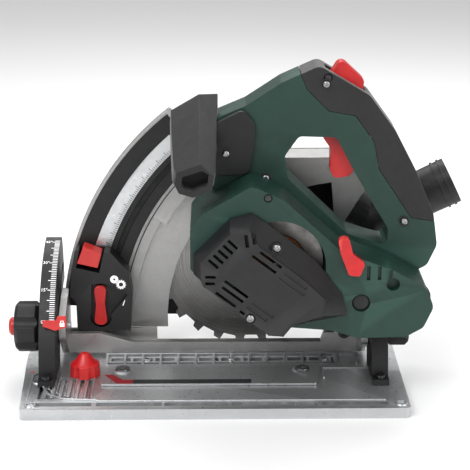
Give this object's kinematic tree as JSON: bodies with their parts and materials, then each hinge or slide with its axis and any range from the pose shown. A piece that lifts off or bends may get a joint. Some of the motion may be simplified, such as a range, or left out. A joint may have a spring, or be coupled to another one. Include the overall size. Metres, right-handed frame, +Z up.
{
  "type": "track plunge saw",
  "caption": "Plunge-cut circular saw for a guide rail: plunging motor head with blade, bevel frame on two quadrants, blade hood with dust spout, depth stop and cast base.",
  "frame": {"origin": "middle of the sole, on its underside", "axes": "+Z up; the cut runs towards -X, so +X is the rear with the dust spout; the motor is on the -Y side and the blade near the +Y edge"},
  "size_m": [0.399, 0.184, 0.2771],
  "materials": {
    "cast_aluminium": "die-cast, fine satin",
    "steel": "turned and plated",
    "blade_steel": "ground",
    "winding": "varnished copper wire on laminated iron",
    "green_plastic": "fine moulded texture",
    "black_plastic": "fine moulded texture",
    "rubber": "soft-touch overmould",
    "red_plastic": "semi-gloss",
    "circuit_board": "coated board"
  },
  "bodies": {
    "base": {"base_plate": "cast_aluminium", "adjustment_plate": "cast_aluminium", "plate_screw_1": "steel", "plate_screw_2": "steel", "front_quadrant": "black_plastic", "front_quadrant_screw": "steel", "rear_quadrant": "black_plastic", "rear_quadrant_screw": "steel"},
    "rail_knob": {"rail_play_knob": "red_plastic"},
    "bevel_frame": {"tilt_frame": "cast_aluminium", "plunge_pivot_pin": "steel", "blade_hood": "cast_aluminium", "hood_outer_cover": "cast_aluminium", "hood_screw_1": "steel", "depth_guide": "black_plastic", "depth_scale": "blade_steel", "guide_spacer": "black_plastic", "front_clamp_bolt": "steel", "rear_clamp_bolt": "steel", "bevel_pointer": "red_plastic", "plunge_spring": "steel"},
    "depth_slide": {"depth_stop": "black_plastic"},
    "depth_button": {"depth_stop_button": "red_plastic"},
    "depth_lever": {"depth_stop_lever": "red_plastic"},
    "front_clamp": {"front_clamp_knob": "black_plastic"},
    "rear_clamp": {"rear_clamp_knob": "black_plastic"},
    "bevel_release": {"bevel_release_button": "red_plastic"},
    "dust_outlet": {"dust_elbow": "black_plastic"},
    "motor_head": {"housing_near_shell": "green_plastic", "housing_far_shell": "green_plastic", "rubber_grip": "rubber", "shell_screw_1": "steel", "shell_screw_2": "steel", "housing_boss_plug": "black_plastic", "motor_cover": "black_plastic", "neck_cover": "black_plastic", "front_handle": "black_plastic", "gear_case": "cast_aluminium", "gear_case_cover": "cast_aluminium", "spindle_bearing": "steel", "motor_bearing_front": "steel", "motor_bearing_rear": "steel", "stator": "winding", "control_board": "circuit_board", "trigger_switch": "black_plastic"},
    "switch_trigger": {"trigger": "red_plastic"},
    "lock_off": {"thumb_lock": "red_plastic"},
    "spindle_lock": {"spindle_lock_lever": "red_plastic"},
    "dial": {"speed_dial": "red_plastic"},
    "rotor": {"rotor_shaft": "steel", "rotor_core": "steel", "cooling_fan": "black_plastic"},
    "lay_shaft": {"lay_gear": "steel", "lay_pinion": "steel"},
    "blade_spindle": {"spindle": "steel", "spindle_gear": "steel", "inner_flange": "steel", "outer_flange": "steel", "blade_bolt": "steel", "saw_blade": "blade_steel"}
  },
  "joints": [
    {"name": "bevel_tilt", "type": "hinge", "parent": "base", "child": "bevel_frame", "pos_m": [0, 0.072, 0], "axis": [-1, 0, 0], "range_deg": [0, 46]},
    {"name": "rail_knob_turn", "type": "hinge", "parent": "base", "child": "rail_knob", "pos_m": [-0.112, -0.02, 0], "axis": [0, 0, 1], "range_deg": [-90, 90]},
    {"name": "depth_stop_slide", "type": "hinge", "parent": "bevel_frame", "child": "depth_slide", "pos_m": [0.114, 0, 0.0315], "axis": [0, 1, 0], "range_deg": [0, 33]},
    {"name": "depth_button_press", "type": "slide", "parent": "depth_slide", "child": "depth_button", "axis": [-0.2316, 0, -0.9728], "range_m": [0, 0.003], "stiffness_N_per_m": 400, "springref_m": -0.003},
    {"name": "depth_lever_turn", "type": "hinge", "parent": "depth_slide", "child": "depth_lever", "pos_m": [-0.101, 0.028, 0.044], "axis": [0, 1, 0], "range_deg": [0, 35]},
    {"name": "front_clamp_turn", "type": "hinge", "parent": "bevel_frame", "child": "front_clamp", "pos_m": [-0.1503, 0.00155, 0.04575], "axis": [1, 0, 0], "range_deg": [0, 90]},
    {"name": "rear_clamp_turn", "type": "hinge", "parent": "bevel_frame", "child": "rear_clamp", "pos_m": [0.1473, -0.00111, 0.04136], "axis": [1, 0, 0], "range_deg": [-90, 0]},
    {"name": "bevel_release_press", "type": "slide", "parent": "bevel_frame", "child": "bevel_release", "axis": [1, 0, 0], "range_m": [0, 0.003], "stiffness_N_per_m": 400, "springref_m": -0.003},
    {"name": "dust_swivel", "type": "hinge", "parent": "bevel_frame", "child": "dust_outlet", "pos_m": [0.122, 0.0695, 0.134], "axis": [0.8572, 0, -0.515], "range_deg": [-90, 15]},
    {"name": "plunge", "type": "hinge", "parent": "bevel_frame", "child": "motor_head", "pos_m": [0.114, 0, 0.0315], "axis": [0, -1, 0], "range_deg": [0, 39.02], "stiffness_Nm_per_rad": 9, "springref_deg": -51.57},
    {"name": "trigger_pull", "type": "hinge", "parent": "motor_head", "child": "switch_trigger", "pos_m": [0.1, 0.008, 0.222], "axis": [0, -1, 0], "range_deg": [0, 7], "stiffness_Nm_per_rad": 0.6, "springref_deg": -8.59},
    {"name": "thumb_press", "type": "slide", "parent": "motor_head", "child": "lock_off", "axis": [-0.5501, 0, -0.8351], "range_m": [0, 0.003], "stiffness_N_per_m": 500, "springref_m": -0.003},
    {"name": "spindle_lock_swing", "type": "hinge", "parent": "motor_head", "child": "spindle_lock", "pos_m": [0.104, -0.064, 0.142], "axis": [0, -1, 0], "range_deg": [0, 20], "stiffness_Nm_per_rad": 0.2, "springref_deg": -11.46},
    {"name": "speed_dial_turn", "type": "hinge", "parent": "motor_head", "child": "dial", "pos_m": [0.169, -0.046, 0.09], "axis": [0, 1, 0], "range_deg": [-135, 135]},
    {"name": "blade_spin", "type": "hinge", "parent": "motor_head", "child": "blade_spindle", "pos_m": [0.02538, 0.072, 0.084], "axis": [0, 1, 0], "continuous": true},
    {"name": "lay_spin", "type": "hinge", "parent": "motor_head", "child": "lay_shaft", "pos_m": [0.03956, 0, 0.10337], "axis": [0, 1, 0], "continuous": true},
    {"name": "rotor_spin", "type": "hinge", "parent": "motor_head", "child": "rotor", "pos_m": [0.05137, 0, 0.11951], "axis": [0, 1, 0], "continuous": true}
  ],
  "couplings": [
    {"joint": "lay_spin", "follows": "blade_spin", "ratio": -1},
    {"joint": "rotor_spin", "follows": "blade_spin", "ratio": 3}
  ]
}
